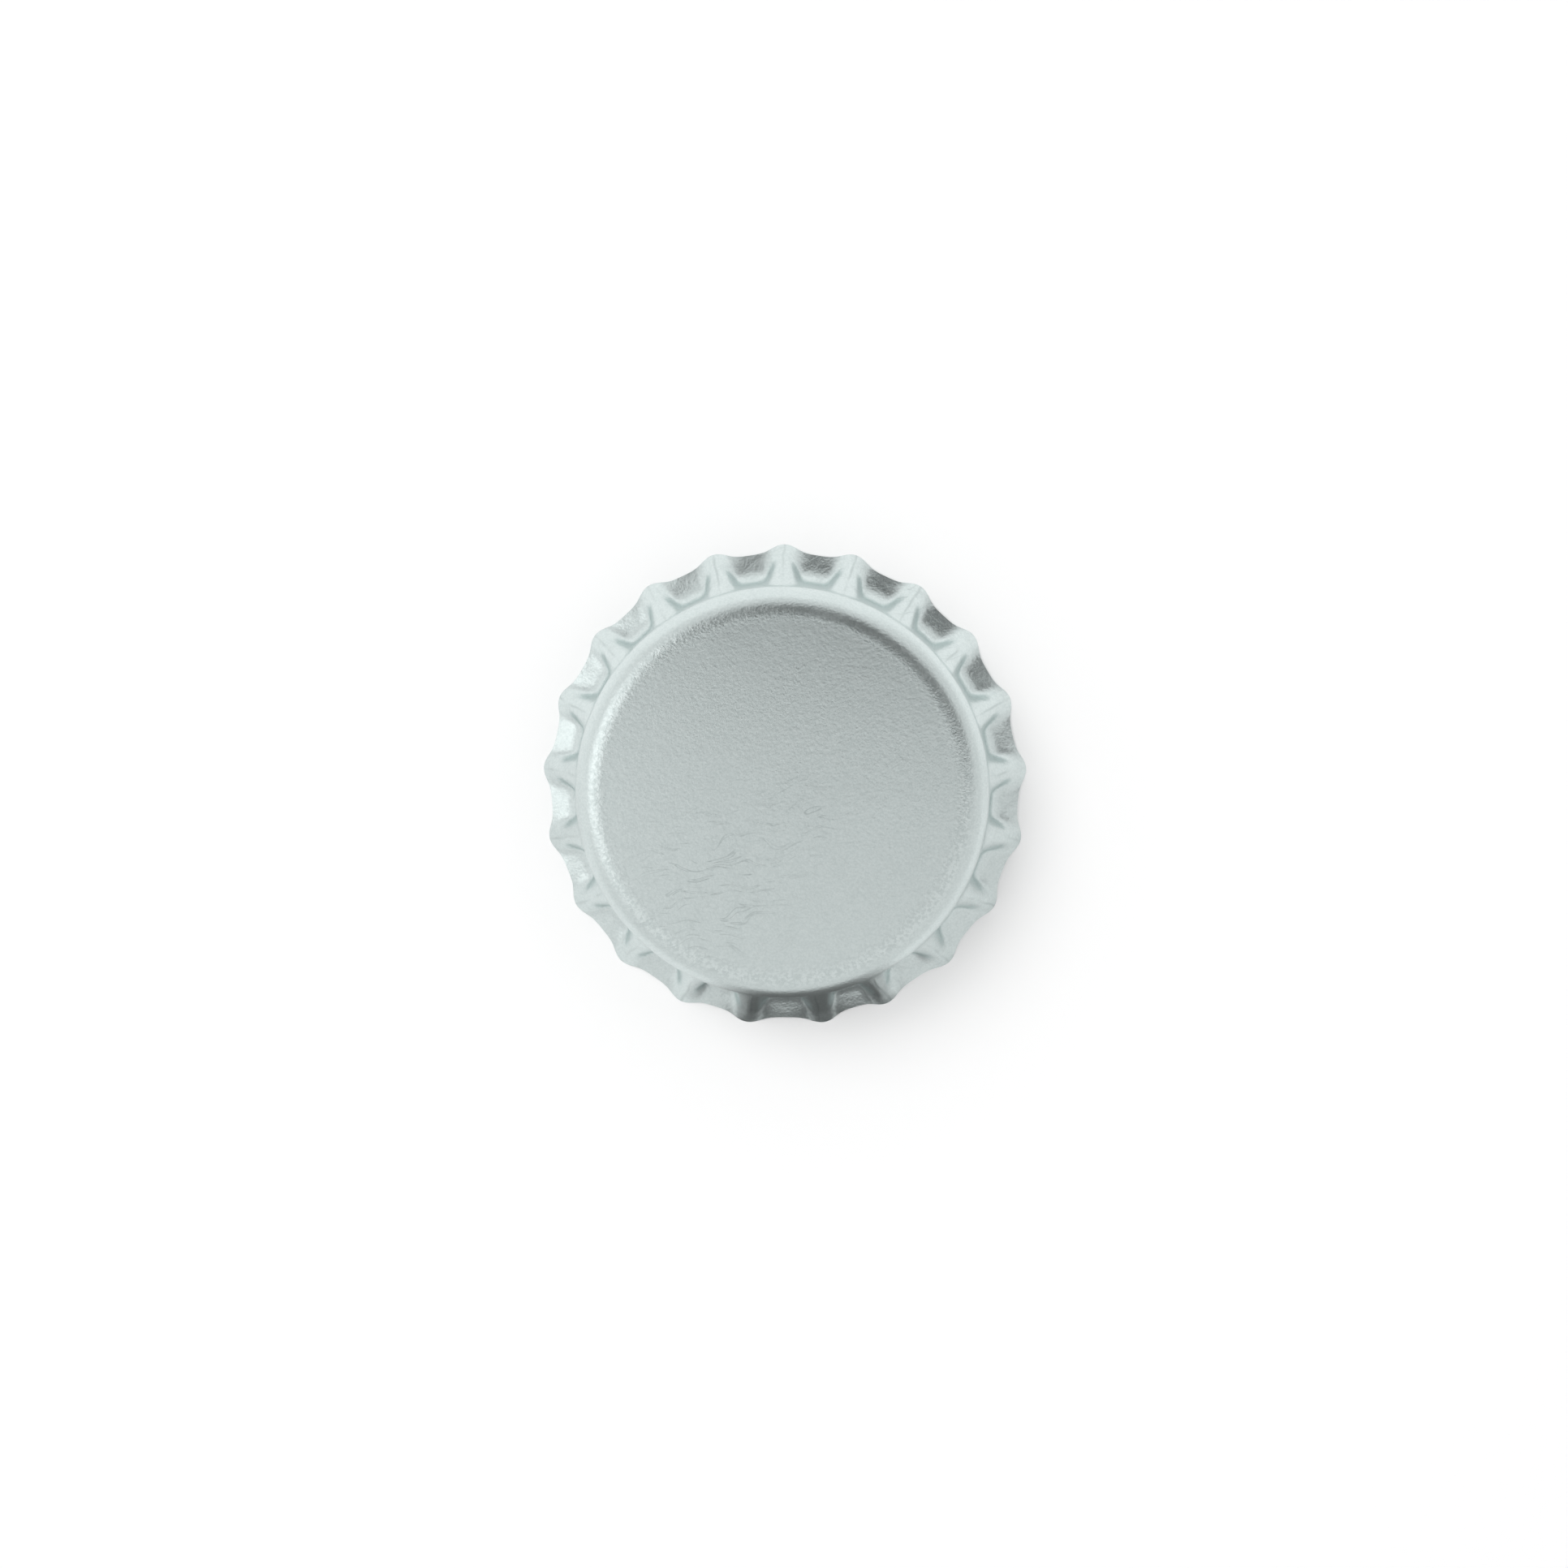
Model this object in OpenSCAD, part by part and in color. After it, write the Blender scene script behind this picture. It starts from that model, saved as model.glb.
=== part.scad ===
// Pry-off bottle cap: a fluted sheet-metal shell with a moulded sealing liner under its panel.
// Millimetres. The origin is the centre of the plane that the teeth stand on, +Z is up through the panel.

/* [Shell] */
// number of teeth around the skirt
teeth = 21; // [18:1:24]
// overall height of the shell
cap_h = 6.0; // [5.6:0.1:6.6]
// inner diameter of the plain wall, which slides over the bottle's lip
bore_d = 26.75; // [26.2:0.05:27.4]
// outer diameter over the tooth tips
tip_d = 32.1; // [31.6:0.1:33]
// thickness of the sheet
sheet_t = 0.235; // [0.18:0.005:0.28]
// spherical radius of the domed top panel, outer surface
dome_r = 165; // [120:5:220]
// radius of the rounded shoulder, outer surface
shoulder_r = 1.6; // [1.4:0.1:1.8]
// radius of the gentler arc between the panel and the shoulder, outer surface
blend_r = 3.3; // [2.6:0.1:4]
// angle from the level at which that arc turns into the shoulder
blend_angle = 17; // [14:1:20]

/* [Flutes] */
// height at which the teeth spring from the plain wall
flute_top_z = 3.55; // [3.2:0.05:3.6]
// diameter of the rim in the middle of a valley
valley_d = 30.88; // [30.5:0.02:31.2]
// slope of the valley floor, measured from the flat
floor_slope = 17; // [8:1:28]
// radius of the fillet between the plain wall and the valley floor
floor_fillet_r = 1.1; // [0.8:0.1:1.3]
// height of the valley's rim above the plane of the tooth tips
rim_lift = 0.26; // [0.24:0.02:0.5]
// share of one pitch taken by the roof of a tooth where it springs from the wall
roof_share = 0.46; // [0.4:0.01:0.48]
// share of one pitch taken by the foot of a tooth where it springs from the wall
foot_share = 0.54; // [0.52:0.01:0.6]
// share of one pitch taken by the foot of a tooth on the valley floor
slope_foot_share = 0.68; // [0.62:0.01:0.74]
// share of one pitch over which the outline of a tooth rises at the rim
rim_foot_share = 0.9; // [0.8:0.01:0.96]
// how pointed the outline of a tooth is at the rim
tip_sharpness = 1.7; // [1.3:0.05:2]
// how far the roof of a tooth falls away to both sides of its crest line
gable_share = 1.4; // [0.8:0.1:1.6]
// share of one pitch over which the tip of a tooth is flat and stands on a surface
rest_share = 0.14; // [0.1:0.01:0.2]

/* [Liner] */
// thickness of the liner's centre web
web_t = 0.3; // [0.2:0.05:0.5]
// depth of the sealing land below the shell's inner face at the panel's edge
seal_depth = 1.0; // [0.8:0.05:1.1]
// inner diameter of the sealing land
seal_inner_d = 22.4; // [21:0.1:23]
// outer diameter of the sealing land
seal_outer_d = 25.4; // [24.8:0.1:25.6]
// width of the slope from the centre web down to the sealing land
seal_slope_w = 0.6; // [0.3:0.1:1]
// gap between the liner's outer edge and the plain wall
liner_gap = 0.12; // [0.06:0.01:0.2]

/* [Hidden] */
$fn = 180;
// radii of the plain wall, of the tooth tips and of the valleys
wall_ri = bore_d / 2;
wall_ro = wall_ri + sheet_t;
tip_r = tip_d / 2;
valley_r = valley_d / 2;
// centres of the dome, of the blend and of the shoulder, each arc tangent to the next
dome_cz = cap_h - dome_r;
shoulder_cr = wall_ro - shoulder_r;
blend_cr = shoulder_cr - (blend_r - shoulder_r) * sin(blend_angle);
blend_cz = dome_cz + sqrt(pow(dome_r - blend_r, 2) - pow(blend_cr, 2));
shoulder_cz = blend_cz + (blend_r - shoulder_r) * cos(blend_angle);
// angle at which the dome meets the blend
panel_angle = asin(blend_cr / (dome_r - blend_r));
// angle on the shoulder at which the liner ends
liner_angle = asin((wall_ri - liner_gap - shoulder_cr) / (shoulder_r - sheet_t));
// steps along each arc of the section
panel_steps = 6;
blend_steps = 3;
shoulder_steps = 6;
edge_steps = 4;
// valley profile: where its fillet ends, the height of the fillet's centre and the length of each stretch
fillet_end_r = wall_ro + floor_fillet_r * (1 - sin(floor_slope));
fillet_end_z = rim_lift + (valley_r - fillet_end_r) * tan(floor_slope);
fillet_cz = fillet_end_z + floor_fillet_r * cos(floor_slope);
wall_len = flute_top_z - fillet_cz;
fillet_len = floor_fillet_r * (90 - floor_slope) * PI / 180;
floor_len = (valley_r - fillet_end_r) / cos(floor_slope);
valley_len = wall_len + fillet_len + floor_len;
wall_end = wall_len / valley_len;
fillet_end = (wall_len + fillet_len) / valley_len;
// slope of a tooth's crest from the vertical
crest_slope = atan((tip_r - wall_ro) / flute_top_z);
// one pitch is measured in halves: the crest is 0 and the middle of each valley is 1
half_pitch = 180 / teeth;
half_pitch_len = wall_ro * half_pitch * PI / 180;
// shares of the way down between which the roof narrows and the foot widens
roof_turn = [0.42, 0.8];
foot_turn = [0.6, 0.85];
// the skirt's root is buried in the plain wall, just inside that wall's faces
root_lap = 0.15;
root_step = 0.01;
// steps down the wall, the fillet and the floor of a valley
wall_rows = 2;
fillet_rows = 4;
floor_rows = 2;

// limits a value to the span from 0 to 1
function unit(x) = max(0, min(1, x));
// points of an arc about (cr, cz), by angle from the vertical
function arc(cr, cz, r, a0, a1, steps) =
    [for (i = [0 : steps]) let (a = a0 + (a1 - a0) * i / steps) [cr + r * sin(a), cz + r * cos(a)]];
// the faces of the panel, the blend and the shoulder, lowered by an offset from the outer surface
function panel_arc(off) = arc(0, dome_cz, dome_r - off, 0, panel_angle, panel_steps);
function blend_arc(off) = arc(blend_cr, blend_cz, blend_r - off, panel_angle, blend_angle, blend_steps);
function shoulder_arc(off, a0, a1, steps) = arc(shoulder_cr, shoulder_cz, shoulder_r - off, a0, a1, steps);
function reversed(list) = [for (i = [len(list) - 1 : -1 : 0]) list[i]];
function without_first(list) = [for (i = [1 : len(list) - 1]) list[i]];
function panel_and_blend(off) = concat(panel_arc(off), without_first(blend_arc(off)));
// the shell's inner face from the axis to the liner's edge, shared by the shell and the liner
function seat_arc() = concat(panel_and_blend(sheet_t),
    without_first(shoulder_arc(sheet_t, blend_angle, liner_angle, shoulder_steps)));

// profile down the middle of a valley: plain wall, fillet, then sloping floor
function valley_wall(s, off) = [wall_ro - off, flute_top_z - s * valley_len];
function valley_fillet(a, off) =
    [wall_ro + floor_fillet_r - (floor_fillet_r + off) * sin(a),
     fillet_cz - (floor_fillet_r + off) * cos(a)];
function valley_floor(f, off) =
    [fillet_end_r + (valley_r - fillet_end_r) * f - off * sin(floor_slope),
     fillet_end_z + (rim_lift - fillet_end_z) * f - off * cos(floor_slope)];
function valley_point(s, off) =
    s <= wall_end ? valley_wall(s, off) :
    s <= fillet_end ?
    valley_fillet(90 + (floor_slope - 90) * (s - wall_end) / (fillet_end - wall_end), off) :
    valley_floor((s - fillet_end) / (1 - fillet_end), off);
// profile down the crest of a tooth: one straight line to the tip
function crest_point(s, off) =
    [wall_ro - off + (tip_r - wall_ro + off * (1 - 1 / cos(crest_slope))) * s, flute_top_z * (1 - s)];
// height of the valley's fillet and floor at any radius
function fillet_z(r, off) =
    let (arc_r = floor_fillet_r + off, across = max(0, min(arc_r, wall_ro + floor_fillet_r - r)))
    fillet_cz - sqrt(pow(arc_r, 2) - pow(across, 2));
function plane_z(r, off) = fillet_end_z - off / cos(floor_slope) - (r - fillet_end_r) * tan(floor_slope);
function floor_z(r, off) = r < fillet_end_r - off * sin(floor_slope) ? fillet_z(r, off) : plane_z(r, off);
// the ridge of a tooth: broad and steep-sided where it springs from the wall, with gentler sides on the floor
// and a narrow tip
function smooth(x) = let (u = unit(x)) u * u * (3 - 2 * u);
function turned(s, span) = smooth((s - span[0]) / (span[1] - span[0]));
function ridge_foot(s) = foot_share + (slope_foot_share - foot_share) * turned(s, foot_turn);
function ridge_roof(s) = roof_share + (rest_share - roof_share) * turned(s, roof_turn);
function ridge(t, s, off) =
    let (foot = ridge_foot(s), shift = off / half_pitch_len * (1 - s * s))
    smooth((foot - shift - t) / (foot - ridge_roof(s)));
// the outline of the teeth at the rim: a rounded wave
function wave(t) = pow((1 + cos(180 * min(1, t / rim_foot_share))) / 2, tip_sharpness);
// a point's radius lies between the valley's and the crest's; its height follows the valley floor at that
// radius, with the ridge on top
function skirt_point(a, t, s, off) =
    let (v = valley_point(s, off), c = crest_point(s, off), w = ridge(t, s, off), turn = s * s)
    let (rise = (w * (1 - turn) + wave(t) * turn) * (1 - gable_share * t * (1 - turn)))
    let (r = v[0] + (c[0] - v[0]) * rise)
    let (slide = smooth((s - wall_end) / (fillet_end - wall_end)))
    let (base = max(0, v[1] + (floor_z(r, off) - v[1]) * slide))
    [r * cos(a), r * sin(a), base + (c[1] - base) * w];

// stations across half a tooth, whose flank stands further in on the inner face, then across a whole one
function half_cols(off) = let (shift = off / half_pitch_len)
    [0, rest_share, (rest_share + roof_share - shift) / 2, roof_share - shift, foot_share - shift,
     slope_foot_share, (slope_foot_share + 1) / 2, 1];
function pitch_cols(off) = let (half = half_cols(off))
    concat([for (i = [len(half) - 1 : -1 : 1]) -half[i]], [for (i = [0 : len(half) - 2]) half[i]]);
// stations down the skirt
rows = concat(
    [for (i = [0 : wall_rows - 1]) wall_end * i / wall_rows],
    [for (i = [0 : fillet_rows - 1]) wall_end + (fillet_end - wall_end) * i / fillet_rows],
    [for (i = [0 : floor_rows]) fillet_end + (1 - fillet_end) * i / floor_rows]);

// one ring of points for each row, then the skin between the rings
function root_ring(r, z, off) = [for (k = [0 : teeth - 1]) for (t = pitch_cols(off))
    let (a = (2 * k + t) * half_pitch) [r * cos(a), r * sin(a), z]];
function ring(s, off) = [for (k = [0 : teeth - 1]) for (t = pitch_cols(off))
    skirt_point((2 * k + t) * half_pitch, abs(t), s, off)];
function skin(off, root_off) = concat(
    root_ring(wall_ro - root_off, flute_top_z + root_lap, off),
    root_ring(wall_ro - root_off, flute_top_z, off),
    [for (i = [1 : len(rows) - 1]) each ring(rows[i], off)]);
function band(p0, q0, n) = [for (i = [0 : n - 1]) let (j = (i + 1) % n)
    each [[p0 + i, q0 + i, q0 + j], [p0 + i, q0 + j, p0 + j]]];
function flipped(faces) = [for (f = faces) [f[2], f[1], f[0]]];

module skirt() {
    n = teeth * len(pitch_cols(0));
    levels = len(rows) + 1;
    inner = n * levels;
    outer_faces = [for (i = [0 : levels - 2]) each band(i * n, (i + 1) * n, n)];
    inner_faces = [for (i = [0 : levels - 2]) each band(inner + i * n, inner + (i + 1) * n, n)];
    root_face = band(inner, 0, n);
    rim_face = band((levels - 1) * n, inner + (levels - 1) * n, n);
    polyhedron(
        points = concat(skin(0, root_step), skin(sheet_t, sheet_t - root_step)),
        faces = concat(flipped(outer_faces), inner_faces, flipped(root_face), flipped(rim_face)));
}

module cup() {
    outer_steps = shoulder_steps + edge_steps;
    outer = concat(panel_and_blend(0), without_first(shoulder_arc(0, blend_angle, 90, outer_steps)));
    inner = concat(seat_arc(), without_first(shoulder_arc(sheet_t, liner_angle, 90, edge_steps)));
    rotate_extrude()
        polygon(concat(outer, [[wall_ro, flute_top_z], [wall_ri, flute_top_z]], reversed(inner)));
}

module shell() {
    color([0.74, 0.78, 0.77])
        union() {
            cup();
            skirt();
        }
}

module liner() {
    web_r = seal_inner_d / 2 - seal_slope_w;
    web_angle = asin(web_r / (dome_r - sheet_t - web_t));
    panel_edge = panel_arc(sheet_t)[panel_steps];
    land_z = panel_edge[1] - seal_depth;
    underside = arc(0, dome_cz, dome_r - sheet_t - web_t, 0, web_angle, panel_steps);
    land = [[seal_inner_d / 2, land_z], [seal_outer_d / 2, land_z]];
    color([0.86, 0.87, 0.85])
        rotate_extrude()
            polygon(concat(underside, land, reversed(seat_arc())));
}

shell();
liner();
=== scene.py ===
import math

import bpy
import numpy as np
from mathutils import Matrix, Vector


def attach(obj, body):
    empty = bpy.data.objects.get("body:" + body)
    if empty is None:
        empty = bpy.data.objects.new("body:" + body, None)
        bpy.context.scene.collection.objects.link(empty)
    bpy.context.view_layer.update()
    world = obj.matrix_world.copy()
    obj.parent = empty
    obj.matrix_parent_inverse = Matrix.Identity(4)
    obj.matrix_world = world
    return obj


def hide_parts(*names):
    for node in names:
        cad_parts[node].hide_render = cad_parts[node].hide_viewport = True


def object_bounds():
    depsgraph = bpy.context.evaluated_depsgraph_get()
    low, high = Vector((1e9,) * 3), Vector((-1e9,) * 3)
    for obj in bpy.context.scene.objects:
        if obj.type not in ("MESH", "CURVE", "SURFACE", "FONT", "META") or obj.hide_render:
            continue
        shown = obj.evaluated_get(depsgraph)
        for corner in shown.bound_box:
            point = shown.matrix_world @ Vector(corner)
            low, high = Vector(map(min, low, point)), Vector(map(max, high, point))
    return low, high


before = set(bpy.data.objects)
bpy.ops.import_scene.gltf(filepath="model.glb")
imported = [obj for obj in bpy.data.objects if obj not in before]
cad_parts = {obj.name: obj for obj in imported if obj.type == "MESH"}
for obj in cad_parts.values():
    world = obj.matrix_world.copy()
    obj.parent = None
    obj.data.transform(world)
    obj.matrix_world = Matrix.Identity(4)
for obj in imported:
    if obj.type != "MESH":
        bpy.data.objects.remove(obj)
cad_box = [list(corner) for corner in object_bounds()]

MM = 0.001
MICRON = 0.000001

# ---------------------------------------------------------------- sizes in mm, the same as the solids'
# the solids' box gives the height and, along +X, the radius at the tip of a tooth
CAP_H = cad_box[1][2] / MM
TIP_R = cad_box[1][0] / MM
TEETH = 21
SHEET = 0.235
WALL_RI = 26.75 / 2
WALL_RO = WALL_RI + SHEET
# the rim's radius in the middle of a valley
VALLEY_R = 30.88 / 2
# outer radii: the dome, the gentler arc beside it, which ends at an angle from the level, and the shoulder
DOME_R = 165.0
BLEND_R = 3.3
BLEND_ANGLE = math.radians(17)
SHOULDER_R = 1.6
# height at which the teeth spring from the plain wall
FLUTE_Z = 3.55
# a valley: fall of its floor, fillet between the wall and the floor, height of its rim over the tooth tips
FLOOR_SLOPE = math.radians(17)
FILLET_R = 1.1
RIM_LIFT = 0.26
# shares of a pitch taken by a tooth: its roof and its foot at the wall, its foot on the floor and at the rim
ROOF, FOOT = 0.46, 0.54
SLOPE_FOOT, RIM_FOOT = 0.68, 0.9
# share of a pitch that is flat at the tip, to stand on
REST = 0.14
# how pointed a tooth's outline is at the rim, and how far its roof falls away from its crest line
SHARP = 1.7
GABLE = 1.4
# shares of the valley's length over which the roof narrows and the foot widens
ROOF_TURN, FOOT_TURN = (0.42, 0.8), (0.6, 0.85)

SHOULDER_CR = WALL_RO - SHOULDER_R
DOME_CZ = CAP_H - DOME_R
BLEND_CR = SHOULDER_CR - (BLEND_R - SHOULDER_R) * math.sin(BLEND_ANGLE)
BLEND_CZ = DOME_CZ + math.sqrt((DOME_R - BLEND_R) ** 2 - BLEND_CR**2)
SHOULDER_CZ = BLEND_CZ + (BLEND_R - SHOULDER_R) * math.cos(BLEND_ANGLE)
PANEL_ANGLE = math.asin(BLEND_CR / (DOME_R - BLEND_R))
FILLET_END_R = WALL_RO + FILLET_R * (1 - math.sin(FLOOR_SLOPE))
FILLET_END_Z = RIM_LIFT + (VALLEY_R - FILLET_END_R) * math.tan(FLOOR_SLOPE)
FILLET_CZ = FILLET_END_Z + FILLET_R * math.cos(FLOOR_SLOPE)
WALL_LEN = FLUTE_Z - FILLET_CZ
FILLET_LEN = FILLET_R * (math.pi / 2 - FLOOR_SLOPE)
FLOOR_LEN = (VALLEY_R - FILLET_END_R) / math.cos(FLOOR_SLOPE)
VALLEY_LEN = WALL_LEN + FILLET_LEN + FLOOR_LEN
WALL_END = WALL_LEN / VALLEY_LEN
FILLET_END = (WALL_LEN + FILLET_LEN) / VALLEY_LEN
CREST_LEAN = math.atan((TIP_R - WALL_RO) / FLUTE_Z)
HALF_PITCH = math.pi / TEETH


# ---------------------------------------------------------------- surfaces
def grid_mesh(name, rings, first_pole, last_pole):
    """Closed skin over rings of points, each ring one turn round the axis. Each pair of neighbours on a
    ring makes a quad with the pair below it, and the two end rings close in triangles on a pole on the
    axis."""
    count = len(rings[0])
    points = np.concatenate(rings + [np.array([first_pole, last_pole])])
    here = np.arange(count)
    beside = (here + 1) % count
    start = np.arange(len(rings) - 1)[:, None] * count
    quads = np.stack([start + here, start + count + here, start + count + beside, start + beside], axis=2)
    end = (len(rings) - 1) * count
    first = np.full(count, len(rings) * count)
    first_fan = np.stack([first, here, beside], axis=1)
    last_fan = np.stack([first + 1, end + beside, end + here], axis=1)
    mesh = bpy.data.meshes.new(name)
    faces = quads.reshape(-1, 4).tolist() + first_fan.tolist() + last_fan.tolist()
    mesh.from_pydata((points * MM).tolist(), [], faces)
    mesh.validate()
    mesh.shade_smooth()
    obj = bpy.data.objects.new(name, mesh)
    bpy.context.scene.collection.objects.link(obj)
    return obj


def arc(centre_r, centre_z, radius, start, end, steps):
    """Points (radius, height) on an arc: its centre plus its radius times the sine and cosine of the angle
    from the vertical, without the first point."""
    a = np.linspace(start, end, steps + 1)[1:]
    return np.stack([centre_r + radius * np.sin(a), centre_z + radius * np.cos(a)], axis=1)


def valley(s, off):
    """Point (radius, height) at a share s of the length of a valley's middle line: down the wall, round the
    fillet by an even turn, and straight down the floor, all moved inward by off, square to the line."""
    if s <= WALL_END:
        return WALL_RO - off, FLUTE_Z - s * VALLEY_LEN
    if s <= FILLET_END:
        a = math.pi / 2 + (FLOOR_SLOPE - math.pi / 2) * (s - WALL_END) / (FILLET_END - WALL_END)
        radius = FILLET_R + off
        return WALL_RO + FILLET_R - radius * math.sin(a), FILLET_CZ - radius * math.cos(a)
    f = (s - FILLET_END) / (1 - FILLET_END)
    r = FILLET_END_R + (VALLEY_R - FILLET_END_R) * f - off * math.sin(FLOOR_SLOPE)
    return r, FILLET_END_Z + (RIM_LIFT - FILLET_END_Z) * f - off * math.cos(FLOOR_SLOPE)


def profile_z(r, off):
    """Height of the valley's fillet and floor at a radius: the lower half of the fillet's circle, then the
    floor's straight line, moved inward by off."""
    across = np.clip(WALL_RO + FILLET_R - r, 0, FILLET_R + off)
    fillet = FILLET_CZ - np.sqrt((FILLET_R + off) ** 2 - across**2)
    plane = FILLET_END_Z - off / math.cos(FLOOR_SLOPE) - (r - FILLET_END_R) * math.tan(FLOOR_SLOPE)
    return np.where(r < FILLET_END_R - off * math.sin(FLOOR_SLOPE), fillet, plane)


def smooth(u):
    """Even step from 0 to 1: three times u squared less twice u cubed, with u held between 0 and 1."""
    u = np.clip(u, 0, 1)
    return u * u * (3 - 2 * u)


def turned(s, span):
    """How far a change that runs over a span of s has come, as an even step."""
    return smooth((s - span[0]) / (span[1] - span[0]))


def skirt_ring(s, off, t, angle):
    """One ring of the skirt, at a share s of its length and a distance t from the nearest crest, in half
    pitches. Its radius lies between the valley's profile and the straight crest line of a tooth, by a
    steep-sided rib at the top that turns into a wide wave at the rim. Its height follows the valley's floor
    at that radius, and over it the ridge, which narrows toward the rim."""
    valley_r, valley_z = valley(s, off)
    crest_r = WALL_RO - off + (TIP_R - WALL_RO + off * (1 - 1 / math.cos(CREST_LEAN))) * s
    crest_z = FLUTE_Z * (1 - s)
    shift = off / (WALL_RO * HALF_PITCH) * (1 - s * s)
    foot = FOOT + (SLOPE_FOOT - FOOT) * turned(s, FOOT_TURN)
    roof = ROOF + (REST - ROOF) * turned(s, ROOF_TURN)
    ridge = smooth((foot - shift - t) / (foot - roof))
    wave = ((1 + np.cos(np.pi * np.minimum(1, t / RIM_FOOT))) / 2) ** SHARP
    turn = s * s
    rise = (ridge * (1 - turn) + wave * turn) * (1 - GABLE * t * (1 - turn))
    r = valley_r + (crest_r - valley_r) * rise
    slide = turned(s, (WALL_END, FILLET_END))
    floor_z = np.maximum(0, valley_z + (profile_z(r, off) - valley_z) * slide)
    z = floor_z + (crest_z - floor_z) * ridge
    return np.stack([r * np.cos(angle), r * np.sin(angle), z], axis=1)


def soften(rings, times):
    """Rings with each point moved halfway to the mean of its two neighbours, again and again, along the
    rings and then across them, so that the creases become as soft as in pressed sheet. The end rings only
    change along."""
    grid = np.array(rings)
    for _ in range(times):
        grid = grid / 2 + (np.roll(grid, 1, axis=1) + np.roll(grid, -1, axis=1)) / 4
        grid[1:-1] = grid[1:-1] / 2 + (grid[:-2] + grid[2:]) / 4
    return list(grid)


def round_ring(r, z, angle):
    """A level circle: the radius times the cosine and sine of each angle, at one height."""
    return np.stack([r * np.cos(angle), r * np.sin(angle), np.full_like(angle, z)], axis=1)


# ---------------------------------------------------------------- the shell
# columns of points from a crest to the middle of a valley, in half pitches: closer on the flank between them
FLANK_FROM, FLANK_TO = 0.34, 0.58
ROOF_COLUMNS, FLANK_COLUMNS, VALLEY_COLUMNS = 5, 6, 6
half = np.concatenate(
    [
        np.linspace(0, FLANK_FROM, ROOF_COLUMNS + 1),
        np.linspace(FLANK_FROM, FLANK_TO, FLANK_COLUMNS + 1)[1:],
        np.linspace(FLANK_TO, 1, VALLEY_COLUMNS + 1)[1:],
    ]
)
across_tooth = np.concatenate([-half[:0:-1], half[:-1]])
tooth = np.repeat(np.arange(TEETH), len(across_tooth))
from_crest = np.tile(across_tooth, TEETH)
# teeth that stand off their even places, in degrees, from small errors of the press tool
DRIFT = {15: -0.8, 16: 0.9, 17: -0.7}
drift = np.array([DRIFT.get(i, 0.0) for i in range(TEETH)])
side = (tooth + np.sign(from_crest).astype(int)) % TEETH
near_share = 1 - np.abs(from_crest) / 2
lean = drift[tooth] * near_share + drift[side] * (1 - near_share)
around_shell = (2 * tooth + from_crest) * HALF_PITCH + np.radians(lean)

# rows of points down the wall, the fillet and the floor of a valley
WALL_ROWS, FILLET_ROWS, FLOOR_ROWS = 12, 14, 12
stations = np.concatenate(
    [
        np.linspace(0, WALL_END, WALL_ROWS + 1)[1:],
        np.linspace(WALL_END, FILLET_END, FILLET_ROWS + 1)[1:],
        np.linspace(FILLET_END, 1, FLOOR_ROWS + 1)[1:],
    ]
)
# rows of points on the three arcs of the panel and shoulder
DOME_ROWS, BLEND_ROWS, SHOULDER_ROWS = 8, 8, 24
# rings of the plain wall, by their drop below the shoulder
WALL_DROPS = (0.12, 0.24)
# how many times the skirt's creases are softened
SOFTENING = 8
# a ring close to the rim keeps the shading of the rim crisp: its share of the way back to the ring before
RIM_HOLD = 0.07
# rings round the cut edge of the sheet, as shares of its thickness
EDGE_SHARES = (0.04, 0.5, 0.96)
# the outer face has every row, the inner face every second one
FINE, COARSE = 1, 2


def shell_side(off, step):
    """Rings from the panel's centre down to the rim, for the outer face or for a face moved inward by off.
    The profile is three arcs and a straight wall, turned round the axis, then the skirt. A larger step is
    coarser."""
    panel = arc(0, DOME_CZ, DOME_R - off, 0, PANEL_ANGLE, DOME_ROWS)
    blend = arc(BLEND_CR, BLEND_CZ, BLEND_R - off, PANEL_ANGLE, BLEND_ANGLE, BLEND_ROWS // step)
    shoulder_rows = SHOULDER_ROWS // step
    shoulder = arc(SHOULDER_CR, SHOULDER_CZ, SHOULDER_R - off, BLEND_ANGLE, math.pi / 2, shoulder_rows)
    cup = [round_ring(r, z, around_shell) for r, z in np.concatenate([panel, blend, shoulder])]
    wall_heights = [SHOULDER_CZ - drop for drop in WALL_DROPS] + [FLUTE_Z]
    wall = [round_ring(WALL_RO - off, z, around_shell) for z in wall_heights]
    skirt = [skirt_ring(s, off, np.abs(from_crest), around_shell) for s in stations[step - 1 :: step]]
    skirt = soften(wall + skirt, SOFTENING // step)
    hold = skirt[-1] * (1 - RIM_HOLD) + skirt[-2] * RIM_HOLD
    return cup + skirt[:-1] + [hold, skirt[-1]]


outer = shell_side(0.0, FINE)
inner = shell_side(SHEET, COARSE)
edge = [outer[-1] * (1 - f) + inner[-1] * f for f in EDGE_SHARES]
inner_top = DOME_CZ + DOME_R - SHEET
cap_shell = grid_mesh("cap_shell", outer + edge + inner[::-1], [0, 0, CAP_H], [0, 0, inner_top])
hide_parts("shell")
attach(cap_shell, "root")

# ---------------------------------------------------------------- the liner
# it fills the shell's inner face, with a thin web in the middle and a thicker sealing ring at its edge
WEB_T = 0.3
# the ring's flat land: its depth under the panel's edge and its radii, with a slope from the web down to it
SEAL_DEPTH = 1.0
LAND_IN, LAND_OUT = 22.4 / 2, 25.4 / 2
SLOPE_W = 0.6
# clearance to the plain wall
LINER_GAP = 0.12
LINER_COLUMNS = 240
LINER_DOME_ROWS, LINER_BLEND_ROWS, LINER_SHOULDER_ROWS = 8, 4, 8
CORNER_CUTS = 3


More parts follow.
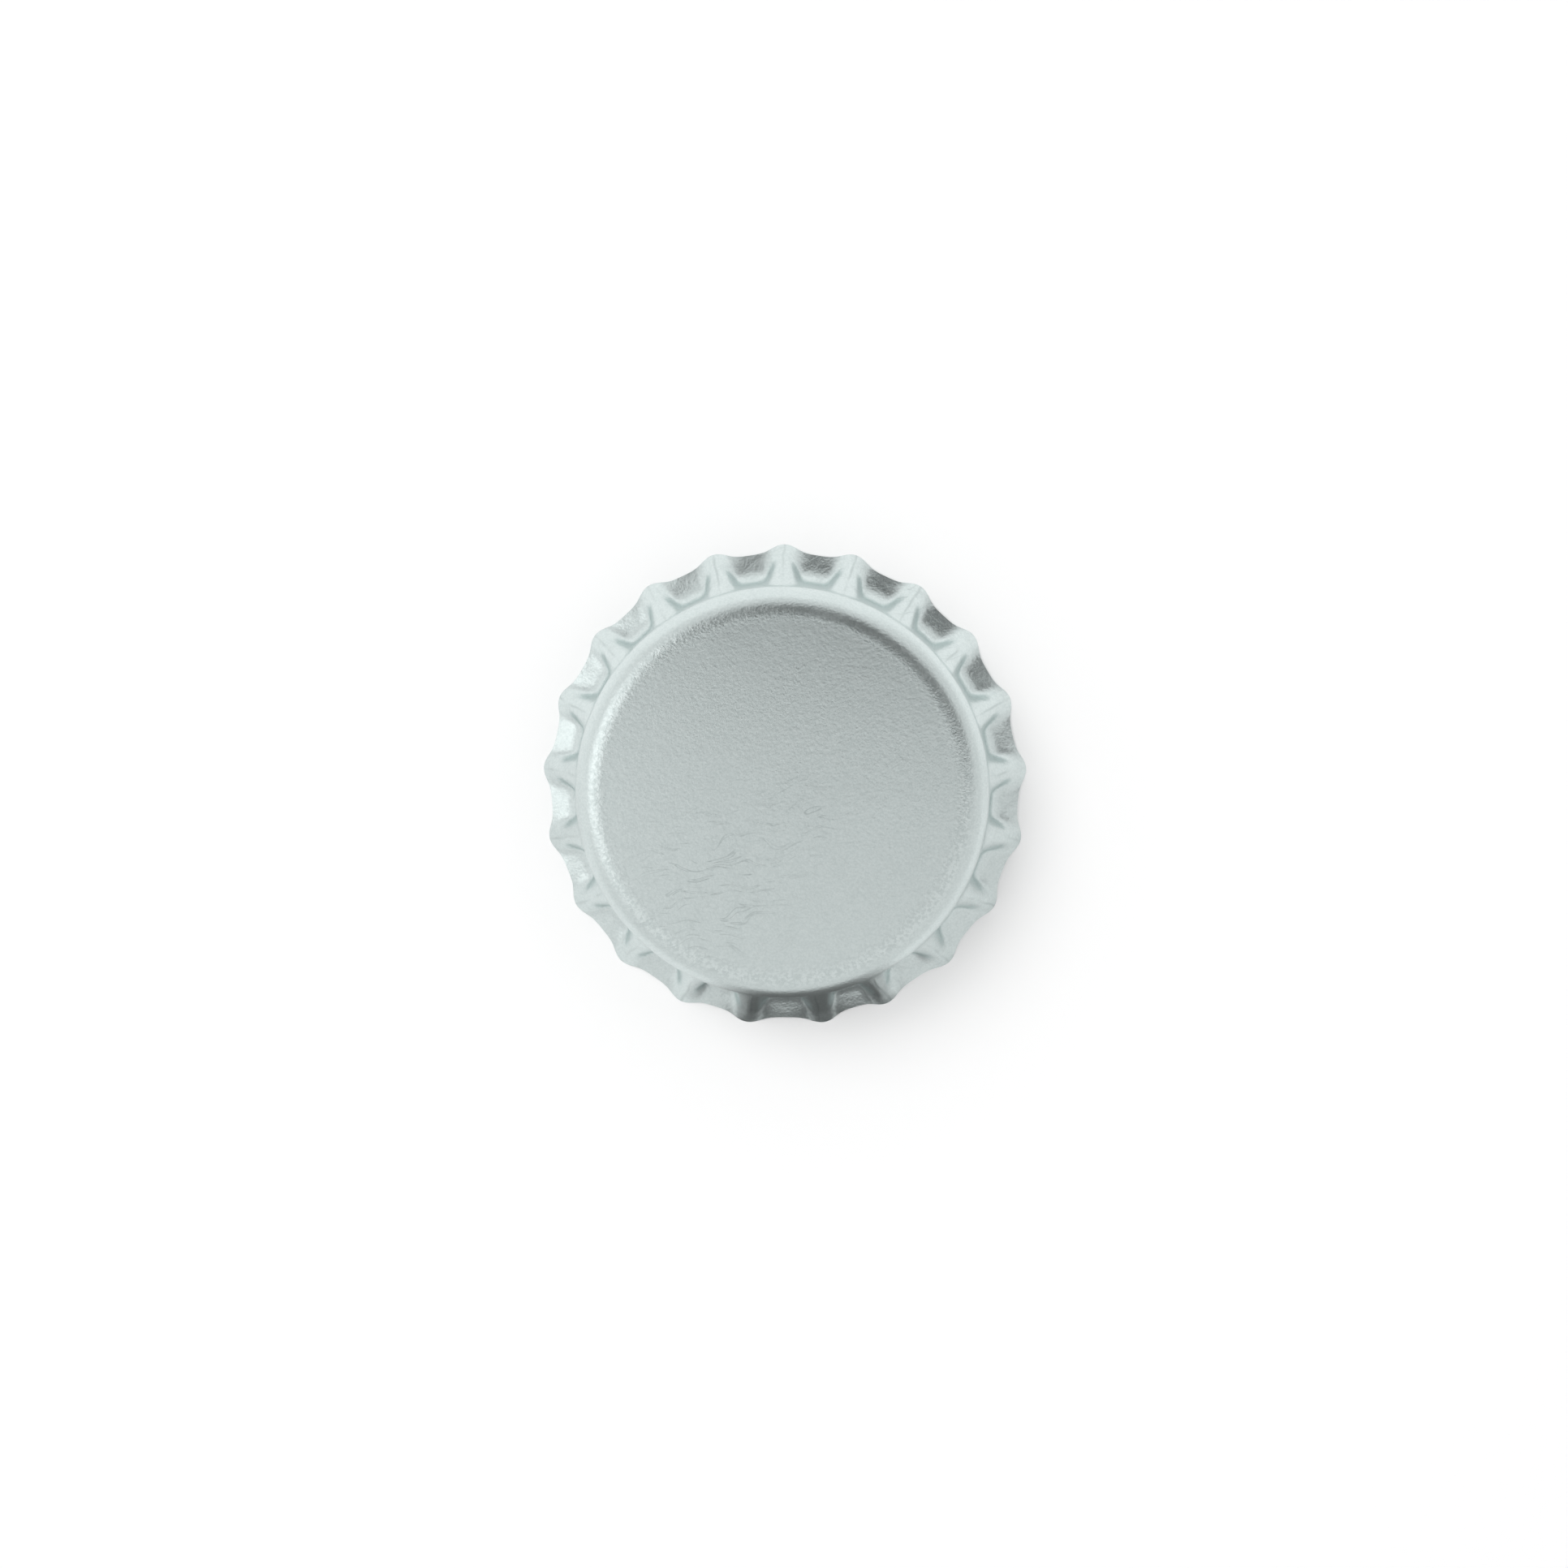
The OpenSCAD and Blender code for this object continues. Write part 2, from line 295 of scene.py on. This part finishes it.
def rounded(points, times):
    """A line of points with each corner cut at a quarter of both its sides, again and again, and its ends
    kept: a soft moulded profile."""
    for _ in range(times):
        p, q = points[:-1], points[1:]
        cuts = np.stack([p + (q - p) / 4, q - (q - p) / 4], axis=1).reshape(-1, 2)
        points = np.concatenate([points[:1], cuts, points[-1:]])
    return points


liner_angle = math.asin((WALL_RI - LINER_GAP - SHOULDER_CR) / (SHOULDER_R - SHEET))
web_angle = math.asin((LAND_IN - SLOPE_W) / (DOME_R - SHEET - WEB_T))
land_z = DOME_CZ + (DOME_R - SHEET) * math.cos(PANEL_ANGLE) - SEAL_DEPTH
seat_shoulder = (SHOULDER_CR, SHOULDER_CZ, SHOULDER_R - SHEET, BLEND_ANGLE, liner_angle, LINER_SHOULDER_ROWS)
seat = np.concatenate(
    [
        arc(0, DOME_CZ, DOME_R - SHEET, 0, PANEL_ANGLE, LINER_DOME_ROWS),
        arc(BLEND_CR, BLEND_CZ, BLEND_R - SHEET, PANEL_ANGLE, BLEND_ANGLE, LINER_BLEND_ROWS),
        arc(*seat_shoulder),
    ]
)
web = arc(0, DOME_CZ, DOME_R - SHEET - WEB_T, 0, web_angle, LINER_DOME_ROWS)
ring = rounded(np.array([seat[-1], [LAND_OUT, land_z], [LAND_IN, land_z], web[-1], web[-2]]), CORNER_CUTS)
profile = np.concatenate([seat, ring[1:-1], web[-2::-1]])
around_liner = np.linspace(0, 2 * math.pi, LINER_COLUMNS, endpoint=False)
liner_rings = [round_ring(r, z, around_liner) for r, z in profile]
cap_liner = grid_mesh("cap_liner", liner_rings, [0, 0, inner_top], [0, 0, inner_top - WEB_T])
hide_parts("liner")
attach(cap_liner, "root")


# ---------------------------------------------------------------- colours and nodes; t is a node tree
def srgb(text):
    """sRGB hex colour as a linear tuple."""
    parts = [int(text[i : i + 2], 16) / 255 for i in (0, 2, 4)]
    return tuple(p / 12.92 if p <= 0.04045 else ((p + 0.055) / 1.055) ** 2.4 for p in parts) + (1.0,)


WHITE = srgb("FFFFFF")


def add(tree, kind, inputs=None, **settings):
    """One node with its settings and inputs. An input is a value, a socket, or a node, which stands for its
    first output."""
    node = tree.nodes.new("ShaderNode" + kind)
    for key, value in settings.items():
        setattr(node, key, value)
    for key, value in (inputs or {}).items():
        if isinstance(value, bpy.types.Node):
            value = value.outputs[0]
        if isinstance(value, bpy.types.NodeSocket):
            tree.links.new(value, node.inputs[key])
        else:
            node.inputs[key].default_value = value
    return node


def material(name):
    """A material with an empty node tree, and that tree."""
    m = bpy.data.materials.new(name)
    m.use_nodes = True
    m.node_tree.nodes.clear()
    return m, m.node_tree


# a colour mix takes its two colours at these inputs and gives its result at this output
COLOUR_A, COLOUR_B, MIXED = 6, 7, 2


def per_metre(size):
    """A pattern's scale, in features per metre, from the size of one feature in mm."""
    return 1 / (size * MM)


# ---------------------------------------------------------------- patterns on the metal, sizes in mm
# a crest line sways over a length; how far it sways and how wide it is are shares of a pitch
CREST_SWAY = 2.0
CREST_SWAY_BY = 0.03
CREST_WIDTH = 0.03
# radii between which a zone begins: the bends at the panel's edge and the skirt
BEND_FROM, BEND_FULL = 11.3, 11.9
SKIRT_FROM, SKIRT_FULL = 13.4, 14.0
# radii between which the flecks at the panel's edge come and go
FLECKS_COME, FLECKS_GO = (11.0, 12.3), (12.3, 12.9)
# spots where the lacquer is rubbed: place, full radius and outer radius
WORN = [(-5, -5.5, 2, 7.5), (1, -1.5, 0.5, 4), (9.2, 11.6, 0.5, 1.5), (11.7, 7.9, 0.3, 1.0)]
# noises, each by the size of its features, its detail and its roughness. The lacquer's grain and the mottle
# under it are drawn as coarse as they need to show.
GRAIN = (0.154, 2.0, 0.6)
MOTTLE = (0.294, 2.0, 0.5)
FLECKS = (0.233, 2.0, 0.6)
RUBBED_GRAINS = (0.192, 2.0, 0.5)
UNEVEN_GLOSS = (2.38, 3.0, 0.55)
PRESS_WAVES = (1.11, 2.0, 0.5)
# two sets of hairlines: turn, length, width and contour level; they curl over a length, by up to an amount
HAIRLINES = [(0.05, 3.33, 0.3125, 0.66), (-0.6, 2.63, 0.278, 0.69)]
HAIRLINE_WIDTH = 0.035
CURL, CURL_BY = 3.33, 3.0
# two sets of scores: size and contour width; the places that have them are coarser, and they are fainter
SCORES = [(0.714, 0.06), (0.435, 0.08)]
PLACES_COARSER = 1.43
SCORE_SHARE = 0.28
# how much rougher the marks are
SCUFF = 0.08
# heights of the reliefs, in thousandths of a millimetre
GRAIN_RISE, MOTTLE_RISE, LINE_DEPTH, WAVE_RISE, CREASE_RISE = 18, 11, 3, 40, 20


def near(t, where, x, y, full, none):
    """1 where the distance from the upright line through x, y is under full, falling evenly to 0 at
    none."""
    flat = add(t, "VectorMath", {0: where, 1: (1.0, 1.0, 0.0)}, operation="MULTIPLY")
    centre = (x * MM, y * MM, 0.0)
    away = add(t, "VectorMath", {0: flat, 1: centre}, operation="DISTANCE").outputs["Value"]
    fall = {"Value": away, "From Min": full * MM, "From Max": none * MM, "To Min": 1.0, "To Max": 0.0}
    return add(t, "MapRange", fall)


def contour(t, pattern, level, width):
    """1 on the lines where a pattern passes a level, falling to 0 where it differs from the level by
    width."""
    above = add(t, "Math", {0: pattern, 1: level}, operation="SUBTRACT")
    apart = add(t, "Math", {0: above}, operation="ABSOLUTE")
    return add(t, "MapRange", {"Value": apart, "From Max": width, "To Min": 1.0, "To Max": 0.0})


def hairlines(t, where, turn, length, width, level):
    """Thin curved lines that run mostly one way: contour lines of a noise that is length long and width
    wide, turned by an angle and softly bent by a coarser noise."""
    curl = add(t, "TexNoise", {"Vector": where, "Scale": per_metre(CURL), "Detail": 1.0}).outputs["Color"]
    reach = (CURL_BY * MM, CURL_BY * MM, 0.0)
    bent = add(t, "VectorMath", {0: curl, 1: reach, 2: where}, operation="MULTIPLY_ADD")
    drawn_out = (per_metre(length), per_metre(width), 1)
    laid = add(t, "Mapping", {"Vector": bent, "Rotation": (0, 0, turn), "Scale": drawn_out})
    field = add(t, "TexNoise", {"Vector": laid, "Scale": 1.0, "Detail": 1.0, "Roughness": 0.4})
    return contour(t, field, level, HAIRLINE_WIDTH)


def scores(t, where, size, width):
    """Short curved marks that run every way: the contour lines of a noise, kept where a coarser noise is
    high."""
    field = add(t, "TexNoise", {"Vector": where, "Scale": per_metre(size), "Detail": 1.0, "Roughness": 0.5})
    places = add(t, "TexNoise", {"Vector": where, "Scale": per_metre(size * PLACES_COARSER), "Detail": 2.0})
    kept = add(t, "MapRange", {"Value": places, "From Min": 0.5, "From Max": 0.6})
    return add(t, "Math", {0: contour(t, field, 0.5, width), 1: kept}, operation="MULTIPLY")


def crest_lines(t, where):
    """A thin line along the crest of each tooth: 1 where the turn round the axis, counted in pitches and
    shifted a little by a noise, is a whole number, falling to 0 within a small part of a pitch."""
    along = add(t, "SeparateXYZ", {"Vector": where}).outputs
    angle = add(t, "Math", {0: along["Y"], 1: along["X"]}, operation="ARCTAN2")
    pitches = add(t, "Math", {0: angle, 1: TEETH / (2 * math.pi)}, operation="MULTIPLY")
    sway = add(t, "TexNoise", {"Vector": where, "Scale": per_metre(CREST_SWAY), "Detail": 1.0})
    limits = {"From Min": 0.2, "From Max": 0.8, "To Min": -CREST_SWAY_BY, "To Max": CREST_SWAY_BY}
    shift = add(t, "MapRange", {"Value": sway, **limits})
    pitches = add(t, "Math", {0: pitches, 1: shift}, operation="ADD")
    whole = add(t, "Math", {0: pitches}, operation="ROUND")
    return contour(t, pitches, whole, CREST_WIDTH)


def wear_marks(t, where, worn, skirt):
    """Hairlines on the rubbed spots, and fainter scores, mostly there and on the skirt: the stronger of the
    sets of each kind, times the share of its zone, and then the stronger of the two kinds."""
    hair = 0.0
    for line in HAIRLINES:
        hair = add(t, "Math", {0: hair, 1: hairlines(t, where, *line)}, operation="MAXIMUM")
    hair = add(t, "Math", {0: hair, 1: worn}, operation="MULTIPLY")
    short = 0.0
    for score in SCORES:
        short = add(t, "Math", {0: short, 1: scores(t, where, *score)}, operation="MAXIMUM")
    touched = add(t, "Math", {0: worn, 1: skirt}, operation="MAXIMUM")
    touched = add(t, "MapRange", {"Value": touched, "To Min": 0.5})
    short = add(t, "Math", {0: short, 1: touched}, operation="MULTIPLY")
    short = add(t, "Math", {0: short, 1: SCORE_SHARE}, operation="MULTIPLY")
    return add(t, "Math", {0: hair, 1: short}, operation="MAXIMUM")


def lacquer_relief(t, layers):
    """Normal of a surface with layers of relief, from the first up. Each is a pattern, its height in
    thousandths of a millimetre, and whether it is sunk."""
    normal = None
    for pattern, rise, sunk in layers:
        inputs = {"Strength": 1.0, "Distance": rise * MICRON, "Height": pattern}
        if normal is not None:
            inputs["Normal"] = normal
        normal = add(t, "Bump", inputs, invert=sunk)
    return normal


def speckled(t, pattern, low, high, dark, light):
    """A colour that runs evenly from dark, where a pattern is low, to light, where it is high."""
    share = add(t, "MapRange", {"Value": pattern, "From Min": low, "From Max": high})
    inputs = {0: share, COLOUR_A: srgb(dark), COLOUR_B: srgb(light)}
    return add(t, "Mix", inputs, data_type="RGBA").outputs[MIXED]


def metal():
    """Tinplate under a satin silver lacquer, pressed after it was coated. To the eye: a soft metallic sheen
    with a fine grain that is coarser on the bends, flecks where the panel's edge was stretched, a slightly
    wavy skirt with a crease along each tooth that is darkened by painted shade, faint hairlines and rubbed
    spots."""
    m, t = material("satin_silver_lacquer")
    where = add(t, "TexCoord").outputs["Object"]

    # zones
    skirt = add(t, "Math", {0: 1.0, 1: near(t, where, 0, 0, SKIRT_FROM, SKIRT_FULL)}, operation="SUBTRACT")
    bend = add(t, "Math", {0: 1.0, 1: near(t, where, 0, 0, BEND_FROM, BEND_FULL)}, operation="SUBTRACT")
    disc, panel = near(t, where, 0, 0, *FLECKS_GO), near(t, where, 0, 0, *FLECKS_COME)
    edge_band = add(t, "Math", {0: disc, 1: panel}, operation="SUBTRACT")
    worn = 0.0
    for x, y, full, none in WORN:
        worn = add(t, "Math", {0: worn, 1: near(t, where, x, y, full, none)}, operation="MAXIMUM")

    # noises
    fields = []
    for size, detail, roughness in (GRAIN, MOTTLE, FLECKS, RUBBED_GRAINS, UNEVEN_GLOSS, PRESS_WAVES):
        inputs = {"Vector": where, "Scale": per_metre(size), "Detail": detail, "Roughness": roughness}
        fields.append(add(t, "TexNoise", inputs))
    grain, mottle, fleck, rub, uneven, wave = fields

    # marks, creases along the teeth and rubbed grains, these two only in places; the creases also carry a
    # painted shade
    lines = wear_marks(t, where, worn, skirt)
    places = add(t, "MapRange", {"Value": uneven, "From Min": 0.4, "From Max": 0.6})
    places = add(t, "Math", {0: skirt, 1: places}, operation="MULTIPLY")
    crease_and_painted_shade = add(t, "Math", {0: crest_lines(t, where), 1: places}, operation="MULTIPLY")
    grains = add(t, "MapRange", {"Value": rub, "From Min": 0.68, "From Max": 0.76})
    patches = add(t, "MapRange", {"Value": uneven, "From Min": 0.5, "From Max": 0.6})
    rubbed = add(t, "Math", {0: grains, 1: patches}, operation="MULTIPLY")

    # relief: the grain is lower on the flat panel, and the waves nearly end there
    grain_share = add(t, "MapRange", {"Value": bend, "To Min": 0.45})
    fine = add(t, "Math", {0: grain, 1: grain_share}, operation="MULTIPLY")
    wave_share = add(t, "MapRange", {"Value": skirt, "To Min": 0.1})
    wave = add(t, "Math", {0: wave, 1: wave_share}, operation="MULTIPLY")
    layers = [(fine, GRAIN_RISE, False), (mottle, MOTTLE_RISE, False), (lines, LINE_DEPTH, True)]
    layers += [(wave, WAVE_RISE, False), (crease_and_painted_shade, CREASE_RISE, False)]

    # colour: the grain's, with flecks in the edge band, marks, painted shade along the creases and rubbed
    # grains over it
    colour = speckled(t, grain, 0.35, 0.65, "CED8D7", "D7E0DF")
    grit = speckled(t, fleck, 0.42, 0.58, "C9D3D2", "DBE4E3")
    # the darker colour along each tooth's crease is painted shade; its relief in the layers above is the
    # real crease
    coats = [(edge_band, grit), (lines, srgb("BCC6C5")), (crease_and_painted_shade, srgb("BEC8C7")), (rubbed, srgb("DEE6E5"))]
    for share, coat in coats:
        inputs = {0: share, COLOUR_A: colour, COLOUR_B: coat}
        colour = add(t, "Mix", inputs, data_type="RGBA").outputs[MIXED]

    # gloss: uneven, and duller on the marks
    gloss = {"Value": uneven, "From Min": 0.3, "From Max": 0.7, "To Min": 0.31, "To Max": 0.36}
    scuff = add(t, "Math", {0: lines, 1: SCUFF}, operation="MULTIPLY")
    rough = add(t, "Math", {0: add(t, "MapRange", gloss), 1: scuff}, operation="ADD")

    inputs = {"Base Color": colour, "Metallic": 1.0, "Roughness": rough, "Normal": lacquer_relief(t, layers)}
    add(t, "OutputMaterial", {"Surface": add(t, "BsdfPrincipled", inputs)})
    return m


cap_shell.data.materials.append(metal())

# size of the compound's unevenness in mm, and its height in thousandths of a millimetre
COMPOUND_UNEVEN = 1.11
COMPOUND_RISE = 7.5


def compound():
    """Sealing compound, moulded in place: soft and matt, with a faint unevenness where it flowed."""
    m, t = material("sealing_compound")
    where = add(t, "TexCoord").outputs["Object"]
    flow = add(t, "TexNoise", {"Vector": where, "Scale": per_metre(COMPOUND_UNEVEN), "Detail": 3.0})
    gloss = {"Value": flow, "From Min": 0.3, "From Max": 0.7, "To Min": 0.42, "To Max": 0.52}
    normal = add(t, "Bump", {"Strength": 1.0, "Distance": COMPOUND_RISE * MICRON, "Height": flow})
    inputs = {"Base Color": srgb("DDDFDA"), "Roughness": add(t, "MapRange", gloss), "Normal": normal}
    add(t, "OutputMaterial", {"Surface": add(t, "BsdfPrincipled", inputs)})
    return m


cap_liner.data.materials.append(compound())

# ---------------------------------------------------------------- camera
# the studio's level directions are turned a little from the cap's own axes, which go through a crest
STUDIO_TURN = math.radians(-4.41)
studio_x = Vector((math.cos(STUDIO_TURN), math.sin(STUDIO_TURN), 0))
studio_y = Vector((-math.sin(STUDIO_TURN), math.cos(STUDIO_TURN), 0))
studio_z = Vector((0, 0, 1))
# the camera looks down from far away, tilted from the upright toward a level direction
TILT = math.radians(7.0)
TILT_TOWARD = math.radians(69)
DISTANCE = 600 * MM
VIEW_WIDTH = 103.65 * MM
AIM_RIGHT, AIM_UP = -0.054 * MM, 0.094 * MM
SENSOR = 36
CLIP_NEAR, CLIP_FAR = 0.01, 20

level_back = math.cos(TILT_TOWARD) * studio_x + math.sin(TILT_TOWARD) * studio_y
back = math.sin(TILT) * level_back + math.cos(TILT) * studio_z
up = (studio_y - studio_y.dot(back) * back).normalized()
right = up.cross(back).normalized()
camera = bpy.data.cameras.new("camera")
camera.sensor_width = SENSOR
camera.lens = SENSOR * DISTANCE / VIEW_WIDTH
camera.clip_start = CLIP_NEAR
camera.clip_end = CLIP_FAR
eye = bpy.data.objects.new("camera", camera)
place = right * AIM_RIGHT + up * AIM_UP + back * DISTANCE
eye.matrix_world = Matrix.Translation(place) @ Matrix((right, up, back)).transposed().to_4x4()
bpy.context.scene.collection.objects.link(eye)
bpy.context.scene.camera = eye


# ---------------------------------------------------------------- floor and light, in metres
def card(name, corners, strength, glossy_only=False):
    """A flat sheet that gives light. Its strength is a number, or a function that works it out in the
    material's node tree. At low strength it is a dark gap."""
    mesh = bpy.data.meshes.new(name)
    mesh.from_pydata([tuple(c) for c in corners], [], [tuple(range(len(corners)))])
    obj = bpy.data.objects.new(name, mesh)
    m, t = material(name + "_light")
    level = strength(t) if callable(strength) else strength
    add(t, "OutputMaterial", {"Surface": add(t, "Emission", {"Color": WHITE, "Strength": level})})
    mesh.materials.append(m)
    bpy.context.scene.collection.objects.link(obj)
    obj.visible_camera = False
    if glossy_only:
        obj.visible_diffuse = False
        obj.visible_shadow = False


def heading(x_degrees, y_degrees, height):
    """The point at a height over the cap whose direction leans by two angles along the studio's two
    directions: the height times the tangent of each."""
    lean_x = math.tan(math.radians(x_degrees))
    lean_y = math.tan(math.radians(y_degrees))
    return (studio_x * lean_x + studio_y * lean_y + studio_z) * height


FLOOR_HALF = 3.0
FLOOR_GLOW = 0.11
AIR_LIGHT = 0.84

floor_mesh = bpy.data.meshes.new("floor")
floor_corners = [(x * FLOOR_HALF, y * FLOOR_HALF, 0) for x, y in ((-1, -1), (1, -1), (1, 1), (-1, 1))]
floor_mesh.from_pydata(floor_corners, [], [(0, 1, 2, 3)])
floor = bpy.data.objects.new("floor", floor_mesh)
floor_material, floor_tree = material("pale_floor")
floor_inputs = {
    "Base Color": srgb("F2F2F2"),
    "Roughness": 0.9,
    "Specular IOR Level": 0.0,
    "Emission Color": WHITE,
    "Emission Strength": FLOOR_GLOW,
}
add(floor_tree, "OutputMaterial", {"Surface": add(floor_tree, "BsdfPrincipled", floor_inputs)})
floor_mesh.materials.append(floor_material)
bpy.context.scene.collection.objects.link(floor)

world = bpy.data.worlds.new("soft_studio")
bpy.context.scene.world = world
world.use_nodes = True
air = world.node_tree
air.nodes.clear()
add(air, "OutputWorld", {"Surface": add(air, "Background", {"Color": WHITE, "Strength": AIR_LIGHT})})

# a dark gap behind the camera and a soft box on the left, by the directions of their corners in degrees
GAP = [(-13, 5), (4, 2.5), (44, 6), (50, 20), (34, 31), (0, 37), (-16, 33), (-19, 24)]
GAP_HEIGHT = 0.9
GAP_LIGHT = 0.03
card("dark_gap", [heading(x, y, GAP_HEIGHT) for x, y in GAP], GAP_LIGHT)
BOX = [(-52, -24), (-26, -20), (-26, 22), (-52, 24)]
BOX_HEIGHT = 0.8
BOX_LIGHT = 1.65
card("left_box", [heading(x, y, BOX_HEIGHT) for x, y in BOX], BOX_LIGHT)


def upright(start, along, span, top):
    """Corners of an upright sheet that stands on the floor: a point plus each end of a span times a level
    direction, and those two again at the top height."""
    low, high = (start + along * end for end in span)
    return [low, high, high + studio_z * top, low + studio_z * top]


# two soft boxes that stand on the floor, behind the cap and on its left
BACK_AWAY, BACK_SPAN, BACK_TOP = 0.8, (-1.0, 0.55), 0.35
BACK_LIGHT = 1.15
card("back_box", upright(studio_y * BACK_AWAY, studio_x, BACK_SPAN, BACK_TOP), BACK_LIGHT)
SIDE_AWAY, SIDE_SPAN, SIDE_TOP = 1.0, (-0.5, 0.7), 0.5
SIDE_LIGHT = 1.0
card("side_box", upright(-studio_x * SIDE_AWAY, studio_y, SIDE_SPAN, SIDE_TOP), SIDE_LIGHT)


# ---------------------------------------------------------------- small light and shade cards, in mm
def reflector(name, azimuth, corners, inner, outer, fades):
    """A sheet near the cap that only its metal sees. Each corner is a distance out from the axis at an
    azimuth, a shift sideways and a height. Its light is inner in the middle and outer beyond its fades,
    each of which gives a way, where the change starts and where it ends. Where fades meet, their shares are
    multiplied."""
    a = math.radians(azimuth)
    out = studio_x * math.cos(a) + studio_y * math.sin(a)
    side = studio_y * math.cos(a) - studio_x * math.sin(a)
    ways = {"out": out, "side": side, "up": studio_z}

    def level(t):
        where = add(t, "TexCoord").outputs["Object"]
        inside = 1.0
        for way, start, end in fades:
            along = add(t, "VectorMath", {0: where, 1: ways[way]}, operation="DOT_PRODUCT").outputs["Value"]
            span = {"From Min": start * MM, "From Max": end * MM, "To Min": 1.0, "To Max": 0.0}
            share = add(t, "MapRange", {"Value": along, **span})
            inside = add(t, "Math", {0: inside, 1: share}, operation="MULTIPLY")
        return add(t, "MapRange", {"Value": inside, "To Min": outer, "To Max": inner})

    places = [(out * away + side * shift + studio_z * height) * MM for away, shift, height in corners]
    card(name, places, level, glossy_only=True)


# azimuths, in degrees, of the near side, where the cap shades the floor, and of the far side
NEAR_SIDE, FAR_SIDE = 276, 94
# the cap's own shade on the floor
SHADE = [(14.6, -9.5, 0.03), (14.6, 9.5, 0.03), (24.0, 9.5, 0.03), (24.0, -9.5, 0.03)]
SHADE_FADES = [("out", 19.5, 24), ("side", 4.5, 9), ("side", -4.5, -9)]
reflector("near_shade", NEAR_SIDE, SHADE, inner=0.12, outer=0.92, fades=SHADE_FADES)
# painted shade: a dim upright sheet beyond it, seen only in the metal, that darkens the metal's reflections
# on the near side
LOW = [(18.0, -8.5, 0.7), (18.0, 8.5, 0.7), (18.0, 8.5, 5.6), (18.0, -8.5, 5.6)]
LOW_FADES = [("up", 4.4, 5.6), ("side", 4, 8), ("side", -4, -8)]
reflector("near_dark", NEAR_SIDE, LOW, inner=0.15, outer=0.8, fades=LOW_FADES)
# painted light: a brighter stretch of floor on the far side, a sheet that only the metal sees in its
# reflections
BRIGHT = [(-4.0, -45, 0.02), (-4.0, 45, 0.02), (45.0, 45, 0.02), (45.0, -45, 0.02)]
reflector("far_bright", FAR_SIDE, BRIGHT, inner=1.12, outer=0.93, fades=[("out", 9, -2)])

# a large soft light from the upper left, which only matt surfaces see
KEY_LIGHT = 1.3
KEY_WIDTH = math.radians(40)
KEY_LEAN = (-35, 35)
key = bpy.data.lights.new("soft_key", "SUN")
key.energy = KEY_LIGHT
key.angle = KEY_WIDTH
sun = bpy.data.objects.new("soft_key", key)
sun.rotation_euler = (-heading(*KEY_LEAN, 1.0)).to_track_quat("-Z", "Y").to_euler()
sun.visible_glossy = False
bpy.context.scene.collection.objects.link(sun)

bpy.context.scene.view_settings.view_transform = "Standard"
